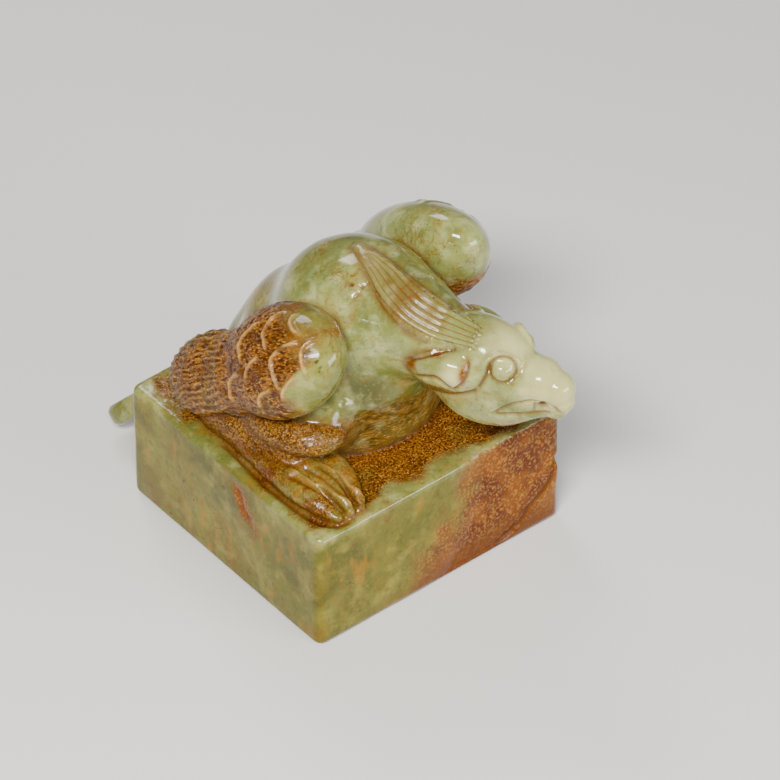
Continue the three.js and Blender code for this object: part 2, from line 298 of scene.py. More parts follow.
# Each mass with the box that it lies in, to save time. The far leg stands further back
farFootBack = 5
masses = {
    "body": (bodyForm, (-27, -28, -1), (28, 31, 34)),
    "nearWing": (lambda p: wingForm(p, nearWing), (-30, -22, -1), (-6, 22, 38)),
    "farWing": (lambda p: wingForm(p, farWing), (6, -22, -1), (30, 28, 38)),
    "nearLeg": (lambda p: legForm(p, -1, 0), (-26, -20, -1), (-6, 16, 14)),
    "farLeg": (lambda p: legForm(p, 1, farFootBack), (6, -15, -1), (26, 21, 14)),
    "nearFoot": (lambda p: footForm(p, -1, 0), (-26, -26, -1), (-7, 10, 8)),
    "farFoot": (lambda p: footForm(p, 1, farFootBack), (7, -21, -1), (26, 15, 8)),
    "head": (headForm, (-14, -44, 5), (24, -10, 36)),
    "crest": (crestForm, (-6, -31, 24), (9, 0, 36)),
    "block": (blockForm, (-30, -30, -25), (30, 30, 3)),
}
massNames = list(masses)
farAway = 9.0


def massDistances(p):
    distances = np.full((len(masses), len(p)), farAway)
    for row, (form, low, high) in zip(distances, masses.values()):
        near = np.all((p > low) & (p < high), axis=1)
        if near.any():
            row[near] = np.minimum(form(p[near]), farAway)
    return distances


# Which points are nearest to one of the named masses
def liesOn(distances, *names):
    return np.isin(np.argmin(distances, axis=0), [massNames.index(name) for name in names])


def stoneForm(p):
    return blend(0.5, *massDistances(p))


# Moves points on to the stone's smooth surface, where that is nearer than the given distance
def settle(p, near, rounds=3):
    step = 0.04
    for _ in range(rounds):
        here = stoneForm(p)
        slope = np.stack([stoneForm(p + step * axis) - here for axis in np.eye(3)], 1) / step
        steep = np.maximum((slope**2).sum(1), 0.25)
        share = smoothStep(near, 0.5 * near, np.abs(here))
        p = p - (share * here / steep)[:, None] * slope
    return p


# Lines that are cut or raised on the surface: the points that they pass through, their half width
# and their depth (a minus for a raised line), and how much brown has settled in them. Each line
# first moves on to the surface, from as far as "near"
cutLines = []


def cutLine(points, width, depth, dirt=1.0, near=3.0):
    cutLines.append((settle(curveThrough(points), near), width, depth, dirt))


def onBothSides(points):
    return [[onHead(f, s * side, up) for f, side, up in points] for s in (1, -1)]


headLines = [
    # brow, the groove behind the eye, and the cheek
    ([(9.3, 4.9, 5.1), (10, 4.3, 5.9), (11.4, 3.2, 6.3), (13.4, 2.4, 5.2)], 0.5, -1, 0),
    ([(10.2, 4.6, 5.8), (9.9, 5.1, 4), (9.4, 5.8, 2), (8.6, 6.1, 0.2)], 0.4, 0.45, 0.9),
    ([(8.8, 6.1, 0.2), (6.7, 6.4, -1.3), (4.3, 6.1, -2.7), (0.7, 4.6, -4.5)], 0.4, 0.5, 0.9),
    # ear: its edge towards the crest, its fold and its root
    ([(-3, 7.1, 2), (-0.5, 7.4, 3.9), (1, 6.8, 4.8), (2.6, 5.6, 5.3), (4.6, 5, 5.8)], 0.4, 0.45, 0.9),
    ([(-2.6, 7.6, -0.6), (1.2, 8.4, 1.5), (2.8, 8.5, 1.8), (4.1, 8.1, 0.8), (5, 7.4, -0.4)],
     0.32, 0.5, 1),
    ([(6.4, 5.3, 5.2), (7, 6, 4.2), (7.1, 7, 2.6), (6.3, 7.4, 1), (4.8, 7.2, -0.7)],
     0.32, 0.4, 0.9),
    # forehead and beak
    ([(14.3, -0.4, 5.4), (14.7, 1.5, 4.9), (14.5, 2.9, 3.9), (14.2, 3.8, 2.9)], 0.5, 0.25, 0.15),
    ([(16.1, 3.8, -0.9), (17.6, 3.4, -0.6), (18.8, 2.8, -1), (20.2, 2.1, -2), (20.9, 1.3, -3.2)],
     0.35, 0.6, 0.7),
    # mouth: two edges of the lips and the line that ends them
    ([(10.9, 4.9, -4.7), (12.2, 4.5, -3.3), (14.2, 4.3, -1.9), (17.4, 3.4, -0.8)], 0.3, 0.5, 0.7),
    ([(10.9, 4.9, -4.7), (13.4, 4.1, -4.3), (16.2, 2.9, -4.1), (19.4, 1.8, -3.2)], 0.28, 0.4, 0.7),
    ([(17.2, 3.4, -0.9), (17.1, 3, -2.3), (16.9, 2.8, -3.6)], 0.25, 0.35, 0.6),
]
for points, width, depth, dirt in headLines:
    for line in onBothSides(points):
        cutLine(line, width, depth, dirt)

# The near wing's scale feathers, each a raised crescent that is open to the front
scaleFeathers = [
    [(-18.7, -11.2, 29.1), (-20.1, -9.7, 28), (-21.8, -8.8, 25.7), (-22.6, -10.1, 24.1),
     (-22.6, -11.7, 22.3)],
    [(-16, -4.7, 29.6), (-18, -4.1, 28.5), (-19.9, -4.6, 27.3), (-21.3, -6.9, 26.3)],
    [(-18.6, -2.2, 27.3), (-20.1, -0.9, 25.3), (-21.4, -0.7, 23.3), (-23, -2.7, 21.9)],
    [(-15.2, -7.3, 30.4), (-16.8, -7.3, 30), (-17.7, -9, 29.7), (-17.7, -10.4, 29.8)],
    [(-22.3, -6.2, 24.8), (-23.3, -4.9, 22.5), (-23.8, -5.2, 20.6), (-24, -6.9, 17.7)],
    [(-23.5, -3.4, 20.6), (-23.6, -1.3, 17.8), (-23.4, -0.8, 15), (-23, -1.6, 13.4)],
    [(-16.4, -13, 29.8), (-18.4, -12.4, 28.9), (-19.6, -13.5, 27.4), (-19.9, -14.9, 25.6)],
    [(-23.1, -10.7, 21.8), (-23.8, -8.7, 19.7), (-23.7, -8.4, 17.7), (-23.1, -8.9, 15.6)],
    [(-20.9, -13.4, 25.1), (-22.2, -12.5, 22.6), (-22.5, -12.4, 20.6)],
]
mirrorTo = np.array([-1, 1, 1])
wingShift = np.array([1.8, 8.5, -1.7])
for line in scaleFeathers:
    cutLine(line, 0.28, -0.5, 0)
    cutLine(np.array(line) * mirrorTo + wingShift, 0.32, -0.25, 0)

# Feet: two grooves between the toes, one down a toe, and the cut round the foot
footLines = [
    ([(-21.5, -11.8, 3.5), (-20.2, -15.4, 3.3), (-18.9, -17.5, 2.3), (-18, -20, 1.2),
      (-17.7, -22.1, 0.5)], 0.5, 0.45),
    ([(-16.2, -13.7, 3.6), (-15.3, -16.3, 2.6), (-15.1, -19.2, 1.3), (-15, -22.2, 0.6)], 0.5, 0.5),
    ([(-18.6, -12.2, 3.9), (-17.4, -15.6, 3.4), (-16.6, -19.4, 1.8)], 0.35, 0.25),
    ([(-21.9, 3.3, 0), (-22.6, -3.8, 0), (-22.9, -9.6, 0), (-22.6, -15.9, 0), (-21.6, -20.5, 0),
      (-19.8, -22.9, 0), (-17.4, -23.2, 0)], 0.55, 0.5),
]
footShift = np.array([0, farFootBack, 0])
for points, width, depth in footLines:
    cutLine(points, width, depth)
    cutLine(np.array(points) * mirrorTo + footShift, width, depth)
# a narrow ridge along each groove between two toes
for points, _, _ in footLines[:2]:
    ridge = np.array(points) + (1.1, 0.3, 0.3)
    cutLine(ridge, 0.4, -0.4, 0)
    cutLine(ridge * mirrorTo + footShift, 0.4, -0.4, 0)

# Breast ridge, the crack in the front face and the rust pit in the left one
cutLine([(-10.9, -12.3, 13), (-7.9, -13.6, 11.3), (-3.5, -14.5, 8.9), (0.4, -14.6, 7),
         (3.1, -14.6, 6.6)], 0.8, -0.3, 0)
cutLine([(24.6, -24, -11.2), (21.9, -24.2, -15.1), (18.9, -24.2, -17.2), (16.6, -24.2, -19.8),
         (11, -24.2, -22.2)], 0.45, 0.45, 1.6)
cutLine([(-25, -3.2, -2.6), (-25, -4.6, -4.2), (-25, -5, -6), (-25, -6.9, -7.6)], 0.6, 0.4, 0.8)

# A shaft down the middle of each tail feather
tailRoot = np.array([0, 14, 8.5])
tailTip = np.array([0, block["depth"] / 2 + tail["reach"] - tail["thickness"] / 2,
                    tail["clearance"] + tail["thickness"] / 2 - block["height"]])
tailOut = unit((0, tailRoot[2] - tailTip[2], tailTip[1] - tailRoot[1]))
middleFeather = (tail["feathers"] - 1) / 2
for i in range(tail["feathers"]):
    share = i / (tail["feathers"] - 1) * 2 - 1
    half = 0.55 * tail["width"] / tail["feathers"]
    start = tailRoot + (share * (tail["rootWidth"] / 2 - 0.6 * half), 0, 0)
    end = tailTip + (share * (tail["width"] / 2 - half), 0, 0)
    surface = tailOut * (tail["thickness"] / 2 - abs(i - middleFeather) * tail["step"])
    shaft = [start + along * (end - start) + surface for along in (0.3, 0.95)]
    cutLine(shaft, 0.3, 0.3, 0.8, 0.01)


# How far each point is raised by its lines, how much brown they hold, and where ridges are rubbed
def lineRelief(p):
    raised = np.zeros(len(p))
    dirt = np.zeros(len(p))
    rubbed = np.zeros(len(p))
    for line, width, depth, brown in cutLines:
        reach = 3 * width
        near = np.all((p > line.min(0) - reach) & (p < line.max(0) + reach), axis=1)
        q = p[near]
        if not len(q):
            continue
        gap = limb(q, np.column_stack([line, np.zeros(len(line))]))
        ends = np.minimum(np.linalg.norm(q - line[0], axis=1), np.linalg.norm(q - line[-1], axis=1))
        fade = smoothStep(0, 1.2, ends + 0.35)
        raised[near] -= depth * fade * np.exp(-((gap / width) ** 2))
        mark = fade * np.exp(-((gap / (0.9 * width)) ** 2))
        dirt[near] = np.maximum(dirt[near], brown * mark)
        if depth < 0:
            rubbed[near] = np.maximum(rubbed[near], mark)
    return raised, dirt, rubbed


# Depths of the finer relief, in millimetres
carving = {
    "eyeRing": 0.45, "mouthHole": 0.9, "flaw": 0.35, "roughSkin": 0.16, "handCut": 0.07,
    "handCutOnHead": 0.02, "blockWaves": 0.12, "dish": 0.45, "backPits": 0.4, "strokes": 0.15,
}
# Random fields on the stone: the size of their blots in millimetres, and their seed
blots = {
    "roughSkin": (0.8, 5), "handCut": (3.5, 6), "blockWaves": (6, 7),
    "backPits": (0.9, 11), "strokes": (2, 12), "strokeGaps": (1.7, 13),
    "flawTop": (3, 21), "flawSide": (4, 22), "skinEdge": (4, 31), "fineSkinEdge": (1.6, 32),
    "stainEdge": (2.2, 41), "amberEdge": (4, 42), "rubbedGaps": (1.2, 43),
    "footSpots": (1.5, 44), "pitEdge": (1.2, 45),
    "clouds": (7, 51), "smallClouds": (3, 52), "wingDirt": (2.3, 61),
}


def blot(p, name):
    return softNoise(p, *blots[name])


# How far points lie in from the edges of the block's top
def fromEdge(p):
    return np.minimum(block["width"] / 2 - np.abs(p[:, 0]), block["depth"] / 2 - np.abs(p[:, 1]))


# Grooves between the crest's locks
def carveCrest(p, distances, raised, dirt):
    band = distances[massNames.index("crest")] < 0.6
    _, place, halfWidth = crestPlace(p[band])
    lock = (place * crest["locks"] + crest["locks"]) / 2
    groove = np.exp(-((np.abs(lock - np.round(lock)) / 0.16) ** 2)) * (np.abs(place) < 1.05)
    groove *= smoothStep(0.9, 1.8, halfWidth)
    raised[band] -= crest["groove"] * groove
    dirt[band] = np.maximum(dirt[band], 0.25 * groove)


# The ring round each eye, and the small hole at each side of the mouth's front
def carveHead(p, raised, dirt):
    f, side, up = eye["at"]
    for s in (1, -1):
        centre = np.array(onHead(f + 0.7, s * (side + 0.9), up + 0.9))
        ring = np.exp(-(((np.linalg.norm(p - centre, axis=1) - eye["ring"]) / 0.3) ** 2))
        hole = settle(np.array([onHead(18.2, s * 2.9, -2)]), 3)[0]
        hollow = np.exp(-((np.linalg.norm(p - hole, axis=1) / 0.75) ** 2))
        raised -= carving["eyeRing"] * ring
        raised -= carving["mouthHole"] * hollow
        np.maximum(dirt, 0.8 * ring, out=dirt)
        np.maximum(dirt, 1.4 * hollow, out=dirt)


# The uneven surface that the hand tools left, the rough skin and flaw, and the pits
def carveSurface(p, distances, raised, dirt):
    isBlock = liesOn(distances, "block")
    flaw = flawShare(p) * isBlock
    raised -= carving["flaw"] * flaw
    raised += carving["roughSkin"] * np.maximum(flaw, skinShare(p, distances)) * blot(p, "roughSkin")
    smoother = liesOn(distances, "head", "crest")
    raised += np.where(smoother, carving["handCutOnHead"], carving["handCut"]) * blot(p, "handCut")
    raised += carving["blockWaves"] * isBlock * blot(p, "blockWaves")
    # the block's top is dished in front of the breast
    top = isBlock & (p[:, 2] > -1.5)
    raised -= carving["dish"] * top * smoothStep(1.6, 4.5, fromEdge(p)) * smoothStep(-6, -14, p[:, 1])
    # small natural pits on the back
    away = np.linalg.norm((p - (-4.3, -8, 30.7)) / (2.6, 2, 2.5), axis=1)
    pits = smoothStep(0.1, 0.5, blot(p, "backPits")) * np.exp(-(away**2))
    raised -= carving["backPits"] * pits
    np.maximum(dirt, 0.9 * pits, out=dirt)


# Fine strokes on the feathers behind the near wing's shoulder
def carveStrokes(p, distances, raised, dirt, rubbed):
    wing = liesOn(distances, "nearWing")
    q = p[wing]
    along, across = wingPlace(q, nearWing)
    strokes = np.sin(2 * np.pi * (across + 0.45 * blot(q, "strokes")) / nearWing["stroke"])
    behind = smoothStep(8, 11, along) * smoothStep(-0.7, 0.1, blot(q, "strokeGaps"))
    raised[wing] += carving["strokes"] * behind * strokes
    dirt[wing] = np.maximum(dirt[wing], 0.6 * behind * smoothStep(-0.3, -0.9, strokes))
    rubbed[wing] = np.maximum(rubbed[wing], 0.45 * behind * smoothStep(0.5, 0.95, strokes))


# All that is too fine for the solid: how far points are raised, their dirt and what is rubbed
def fineRelief(p, distances):
    raised, dirt, rubbed = lineRelief(p)
    carveCrest(p, distances, raised, dirt)
    carveHead(p, raised, dirt)
    carveSurface(p, distances, raised, dirt)
    carveStrokes(p, distances, raised, dirt, rubbed)
    return raised, dirt, rubbed


# The rough orange flaw on the front face, above the crack
def flawShare(p):
    x, y, z = p.T
    up = z + block["height"]
    front = smoothStep(-23.2, -24, y)
    above = smoothStep(-0.5, 1.2, (up - 11.5) - 0.9 * (x - 25) + 1.5 * blot(p, "flawTop"))
    left = smoothStep(4, 12, x + 4 * blot(p, "flawSide") + 0.35 * (block["height"] - up))
    return front * above * left


# Where the stone's brown skin is left: wings, legs, feet, breast and the block's top round them
def skinShare(p, distances):
    x, y, z = p.T
    rag = 2.2 * blot(p, "skinEdge") + 1.1 * blot(p, "fineSkinEdge")
    nearSkin = smoothStep(-14.5, -12.5, y + 0.8 * rag) * smoothStep(31.5, 28, z + 0.6 * rag)
    farSkin = smoothStep(24.5, 20.5, z + 0.6 * rag) * smoothStep(8, 0, y)
    footSkin = 0.4 + 0.35 * smoothStep(-14, -9, y) + 0.5 * smoothStep(0.4, 1.6, rag)
    underWing = smoothStep(8, 12, x) * smoothStep(25, 20, z) * smoothStep(-1, -5, y)
    breastSkin = 0.6 * smoothStep(12.5, 9, z + 0.6 * rag) * smoothStep(14, 4, y)
    topSkin = smoothStep(1.2, 4.2, fromEdge(p) + 0.8 * rag) * (z > -1.2)
    return np.select(
        [
            liesOn(distances, "nearWing"), liesOn(distances, "farWing"),
            liesOn(distances, "nearLeg", "farLeg"), liesOn(distances, "nearFoot", "farFoot"),
            liesOn(distances, "body"), liesOn(distances, "block"),
        ],
        [nearSkin, farSkin, 0.9, footSkin, np.maximum(breastSkin, underWing), topSkin], 0)


sealShape = {"merge": 1e-6, "voxel": 0.00028, "near": 0.9, "smoothing": 3, "faces": 190000}


def deselectAll():
    bpy.ops.object.select_all(action="DESELECT")


def makeActive(obj):
    deselectAll()
    obj.select_set(True)
    bpy.context.view_layer.objects.active = obj


def readPoints(obj):
    flat = np.empty(3 * len(obj.data.vertices))
    obj.data.vertices.foreach_get("co", flat)
    return flat.reshape(-1, 3) * 1000 - (0, 0, block["height"])


def writePoints(obj, p):
    obj.data.vertices.foreach_set("co", ((p + (0, 0, block["height"])) / 1000).ravel())
    obj.data.update()


def readNormals(obj):
    flat = np.empty(3 * len(obj.data.vertices))
    obj.data.vertices.foreach_get("normal", flat)
    return flat.reshape(-1, 3)


# The seal: a fine copy of the solid, rounded and carved
def buildSeal():
    seal = bpy.data.objects.new("jadeSeal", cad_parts["jade_seal"].data.copy())
    bpy.context.scene.collection.objects.link(seal)
    seal.data.materials.clear()
    makeActive(seal)
    bpy.ops.object.mode_set(mode="EDIT")
    bpy.ops.mesh.select_all(action="SELECT")
    bpy.ops.mesh.remove_doubles(threshold=sealShape["merge"])
    bpy.ops.object.mode_set(mode="OBJECT")
    remesh = seal.modifiers.new("fineCells", "REMESH")
    remesh.mode = "VOXEL"
    remesh.voxel_size = sealShape["voxel"]
    bpy.ops.object.modifier_apply(modifier=remesh.name)
    print("fine mesh", len(seal.data.vertices))

    # the facets are rounded: each point moves on to the smooth form, where that is near
    writePoints(seal, settle(readPoints(seal), sealShape["near"]))
    rounding = seal.modifiers.new("rounding", "SMOOTH")
    rounding.factor = 0.5
    rounding.iterations = sealShape["smoothing"]
    bpy.ops.object.modifier_apply(modifier=rounding.name)
    print("rounded")

    p = readPoints(seal)
    layer = seal.data.attributes.new("smoothPlace", "FLOAT_VECTOR", "POINT")
    layer.data.foreach_set("vector", p.astype(np.float32).ravel())
    raised = fineRelief(p, massDistances(p))[0]
    aboveFace = smoothStep(0.3, 1.2, p[:, 2] + block["height"])  # the seal face stays flat
    writePoints(seal, p + (raised * aboveFace)[:, None] * readNormals(seal))
    print("carved")

    fewer = seal.modifiers.new("fewerFaces", "DECIMATE")
    seal.data.calc_loop_triangles()
    fewer.ratio = min(1, sealShape["faces"] / len(seal.data.loop_triangles))
    bpy.ops.object.modifier_apply(modifier=fewer.name)
    bpy.ops.object.shade_smooth()
    return seal


def keepVector(obj, name, values):
    layer = obj.data.attributes.new(name, "FLOAT_VECTOR", "POINT")
    layer.data.foreach_set("vector", values.astype(np.float32).ravel())


def keepColour(obj, name, *channels):
    layer = obj.data.color_attributes.new(name, "FLOAT_COLOR", "POINT")
    layer.data.foreach_set("color", np.stack(channels, 1).astype(np.float32).ravel())


# Places on the head: ahead of the nape, to the side that faces the camera, and above it
def headwards(p):
    nape = np.array(onHead(0, 0, 0))
    ahead = (p - nape) @ (np.array(onHead(1, 0, 0)) - nape)
    aside = (p - nape) @ (np.array(onHead(0, 1, 0)) - nape)
    return ahead, aside, p[:, 2] - nape[2]


# White stone on the beak, the forehead and the ear
def whiteShare(p, distances):
    ahead, aside, above = headwards(p)
    rag = blot(p, "stainEdge")
    beak = smoothStep(13.5, 16, ahead + rag) * smoothStep(-4.5, -1, above)
    forehead = smoothStep(5, 11, ahead + rag) * smoothStep(3, 6.5, above)
    face = 0.75 * liesOn(distances, "head") * np.maximum(beak, forehead)
    ear = ((ahead - 4.8) / 1.5) ** 2 + ((above - 2.6) / 1.7) ** 2 + ((aside - 7.3) / 2) ** 2
    return np.clip(np.maximum(face, 1.2 * np.exp(-ear)), 0, 1)


# Orange spots round the ear that faces the camera: their places on the head and their sizes
earSpots = [
    ((6.6, 6.8, 3), (0.6, 1.6, 2.2)),
    ((-2, 7.2, 2), (1.3, 1.5, 0.8)),
    ((1.5, 6.6, 5), (1.5, 1, 0.5)),
]


def earShare(p):
    share = np.zeros(len(p))
    for spot, size in earSpots:
        q = (np.stack(headwards(p), 1) - spot) / size
        share = np.maximum(share, np.exp(-(q**2).sum(1)))
    return share


# Amber stone at the lower right of the front face
def amberShare(p, sides):
    up = p[:, 2] + block["height"]
    amber = sides * smoothStep(-21, -23.5, p[:, 1]) * smoothStep(17, 7, up + 2 * blot(p, "stainEdge"))
    return amber * smoothStep(-9, 4, p[:, 0] + 0.5 * (8 - up) + 2.5 * blot(p, "amberEdge"))


# The rust pit on the left face
def pitShare(p, isBlock):
    x, y, z = p.T
    fromPit = np.hypot((y + 5) / 2.9, (z + 4.8 - 1.2 * (y + 5)) / 3.8)
    return isBlock * smoothStep(1.1, 0.6, fromPit + 0.5 * blot(p, "pitEdge")) * (x < -23)


# How olive the stone is: in clouds, and darker olive as painted shade on the breast and in the hollow
# between crest and far wing
def oliveAndShadeShare(p, distances):
    # painted shade on the breast under the neck
    breast = liesOn(distances, "body") * smoothStep(23, 15, p[:, 2]) * smoothStep(2, -6, p[:, 1])
    # painted shade in the hollow between crest and far wing
    hollow = np.exp(-(((p - (4.5, -9, 29)) / (4, 8, 3)) ** 2).sum(1))
    olive = 0.28 + 0.38 * blot(p, "clouds") + 0.22 * blot(p, "smallClouds")
    return np.clip(olive + 0.5 * breast + 0.5 * hollow, 0, 1)


# Warmer, duller and darker stone: the block's sides, the near wing, legs, feet, lower breast and rump.
# The darkening is partly painted shade, on the block's sides, the legs under the wings and the rump
def warmAndShadeShare(p, distances, sides):
    x, y, z = p.T
    isBody = liesOn(distances, "body")
    limbs = liesOn(distances, "nearFoot", "farFoot", "nearLeg", "farLeg")
    # the block's sides and the legs under the wings are darker with painted shade as well as warmer
    warmAndShade = np.maximum(sides, 0.55 * liesOn(distances, "nearWing") + 0.75 * limbs)
    warmAndShade = np.maximum(warmAndShade, 0.35 * isBody * smoothStep(24, 14, z))
    # painted shade: the rump, at the back of the body, is darker
    rumpShade = smoothStep(-5, 9, y + 0.6 * x + 2 * blot(p, "stainEdge")) * smoothStep(0, 2, z)
    return np.maximum(warmAndShade, 0.8 * isBody * rumpShade)


# The place that the skin's grain is drawn on: it runs along the wings and level round the breast
def grainWay(p, distances):
    grain = p + (0, 0, 40)
    for name, wing in (("nearWing", nearWing), ("farWing", farWing)):
        part = liesOn(distances, name)
        along, across = wingPlace(p[part], wing)
        grain[part] = np.stack([0.4 * along, across, 0.5 * p[part, 2]], 1)
    grain[liesOn(distances, "body")] *= (0.3, 0.3, 1.2)
    return grain / 1000


# For the crest's lines: the place across its locks, where they lie, and the rust in the stone
def lockWay(p, rust):
    nearest, place, halfWidth = crestPlace(p)
    across = (np.clip(place, -1.2, 1.2) + 1) * crest["locks"] / 2
    onCrest = smoothStep(0.8, 0.4, nearest) * (np.abs(place) < 1.1) * smoothStep(0.9, 1.8, halfWidth)
    return np.stack([across, onCrest, rust], 1)


# The colours follow the form, so their masks are kept on the mesh
def paintSeal(seal):
    smoothPlace = seal.data.attributes["smoothPlace"]
    p = np.empty(3 * len(seal.data.vertices))
    smoothPlace.data.foreach_get("vector", p)
    p = p.reshape(-1, 3)
    seal.data.attributes.remove(smoothPlace)
    distances = massDistances(p)
    _, dirt, rubbed = fineRelief(p, distances)
    skin = skinShare(p, distances)
    isWing = liesOn(distances, "nearWing")
    isBlock = liesOn(distances, "block")
    feet = liesOn(distances, "nearFoot", "farFoot")
    sides = isBlock * (0.4 + 0.6 * smoothStep(-0.2, -2, p[:, 2]))
    flaw = flawShare(p) * isBlock
    amber = amberShare(p, sides)

    # brown dirt in the cuts, in creases between masses and in patches on the wing, and darker brown
    # towards the bottom of the amber
    crease = smoothStep(1.5, 0, np.sort(distances, axis=0)[1])
    crownEnd = (distances[massNames.index("crest")] < 1) & (distances[massNames.index("head")] < 1)
    crease = np.where(crownEnd, 0.3 * crease, crease)
    settled = np.clip(np.maximum(0.9 * dirt, 0.6 * crease), 0, 1)
    settled = np.maximum(settled, 0.5 * isWing * skin * smoothStep(-0.1, 0.6, blot(p, "wingDirt")))
    settled = np.maximum(settled, 0.75 * amber * smoothStep(8, 1, p[:, 2] + block["height"]))

    # orange: ear and foot spots, the edge of the wing's skin, the flaw, the amber stone and the pit
    footSpots = feet * smoothStep(-0.2, 0.8, blot(p, "footSpots"))
    wingRim = isWing * skin * (1 - skin) * smoothStep(-0.6, 0.4, blot(p, "stainEdge"))
    orange = np.maximum.reduce([1.2 * earShare(p), 0.5 * footSpots, 2.4 * wingRim])
    orange = np.clip(orange + flaw + 0.9 * amber + pitShare(p, isBlock), 0, 1)

    rubbed *= smoothStep(-0.9, 0.2, blot(p, "rubbedGaps"))
    rubbed *= isWing + 0.3 * liesOn(distances, "farWing") + 0.5 * feet
    rough = np.clip(np.maximum.reduce([0.85 * skin, flaw, 0.5 * settled]), 0, 1)
    darkest = np.maximum(0.6 * settled**2, 0.8 * settled * skin)
    keepVector(seal, "lockPlace", lockWay(p, settled * (1 - 0.8 * skin)))
    keepVector(seal, "grainPlace", grainWay(p, distances))
    keepColour(seal, "stain", skin, whiteShare(p, distances), orange, rubbed)
    keepColour(seal, "cuts", darkest, rough, oliveAndShadeShare(p, distances), warmAndShadeShare(p, distances, sides))


seal = buildSeal()
paintSeal(seal)
print("seal made", len(seal.data.polygons))


# Shader helpers
def colour(r, g, b):
    return tuple((v / 255) ** 2.2 for v in (r, g, b)) + (1,)


def addNode(tree, kind, **settings):
    node = tree.nodes.new(kind)
    for name, value in settings.items():
        setattr(node, name, value)
    return node


def feed(tree, socket, value):
    if isinstance(value, bpy.types.NodeSocket):
        tree.links.new(value, socket)
    else:
        socket.default_value = value


def mixColour(tree, share, a, b, mode="MIX"):
    mix = addNode(tree, "ShaderNodeMix", data_type="RGBA", blend_type=mode)
    for socket, value in ((0, share), (6, a), (7, b)):
        feed(tree, mix.inputs[socket], value)
    return mix.outputs[2]


def maths(tree, operation, a, b=0.0):
    node = addNode(tree, "ShaderNodeMath", operation=operation)
    feed(tree, node.inputs[0], a)
    feed(tree, node.inputs[1], b)
    return node.outputs[0]


def mapRange(tree, value, fromRange=(0, 1), toRange=(0, 1), kind="LINEAR"):
    node = addNode(tree, "ShaderNodeMapRange", interpolation_type=kind)
    for socket, number in zip(("From Min", "From Max", "To Min", "To Max"), (*fromRange, *toRange)):
        node.inputs[socket].default_value = number
    tree.links.new(value, node.inputs["Value"])
    return node.outputs["Result"]


def noise(tree, where, scale, detail=4.0, distortion=0.0):
    node = addNode(tree, "ShaderNodeTexNoise")
    node.inputs["Scale"].default_value = scale
    node.inputs["Detail"].default_value = detail
    node.inputs["Distortion"].default_value = distortion
    tree.links.new(where, node.inputs["Vector"])
    return node.outputs["Fac"]


# Patches: a noise that fades in between two of its values
def patches(tree, where, scale, low, high, detail=4.0, distortion=0.0):
    return mapRange(tree, noise(tree, where, scale, detail, distortion), (low, high), kind="SMOOTHSTEP")


# Thin wandering veins, where a noise crosses its middle value
def veins(tree, where, scale, width):
    away = maths(tree, "SUBTRACT", noise(tree, where, scale, 6, 0.8), 0.5)
    return mapRange(tree, maths(tree, "ABSOLUTE", away), (width, 0), kind="SMOOTHSTEP")


# Lays one of the jade's colours over another, by the product of the shares
def layTint(tree, under, tint, *shares):
    total = shares[0]
    for share in shares[1:]:
        total = maths(tree, "MULTIPLY", total, share)
    return mixColour(tree, total, under, jadeLook[tint])


jadeLook = {
    "pale": colour(146, 152, 90),
    "celadon": colour(108, 118, 62),
    "olive": colour(74, 78, 32),
    "yellow": colour(132, 106, 26),
    "light": colour(174, 180, 126),
    "white": colour(196, 190, 130),
    # a warm tint that also darkens: painted shade on the block's sides, the legs and the rump
    "honeyAndShade": (0.56, 0.43, 0.055, 1),
    "gold": colour(156, 106, 10),
    # painted highlight: the golden sparkle of the polished skin, painted as specks
    "paintedGlint": colour(190, 138, 60),
    "russet": colour(58, 28, 4),
    "tan": colour(134, 86, 30),
    "rubbed": colour(204, 156, 90),
    "orange": colour(114, 63, 0),
    "deepOrange": colour(82, 38, 0),
    "dirt": colour(58, 28, 4),
    "rust": colour(108, 60, 8),
    "speck": colour(46, 42, 18),
}
jadeSurface = {
    "Coat Roughness": 0.1,
    "Specular IOR Level": 0.12,
    "IOR": 1.6,
    "Subsurface Weight": 0.1,
    "Subsurface Radius": (1, 0.9, 0.4),
    "Subsurface Scale": 0.0015,
}


# The masks that the mesh carries, and the places that the patterns are drawn on
def readMasks(tree):
    masks = {"where": addNode(tree, "ShaderNodeTexCoord").outputs["Object"]}
    for name, channels in (
        ("stain", ("skin", "white", "orange", "rubbed")),
        ("cuts", ("dirt", "rough", "olive", "warmAndShade")),
    ):
        attribute = addNode(tree, "ShaderNodeAttribute", attribute_name=name)
        split = addNode(tree, "ShaderNodeSeparateColor")
        tree.links.new(attribute.outputs["Color"], split.inputs[0])
        masks.update(zip(channels, (*split.outputs, attribute.outputs["Alpha"])))
    masks["along"] = addNode(tree, "ShaderNodeAttribute", attribute_name="grainPlace").outputs["Vector"]
    lockPlace = addNode(tree, "ShaderNodeAttribute", attribute_name="lockPlace")
    locks = addNode(tree, "ShaderNodeSeparateXYZ")
    tree.links.new(lockPlace.outputs["Vector"], locks.inputs[0])
    masks.update(zip(("acrossLocks", "onCrest", "rust"), locks.outputs))
    return masks
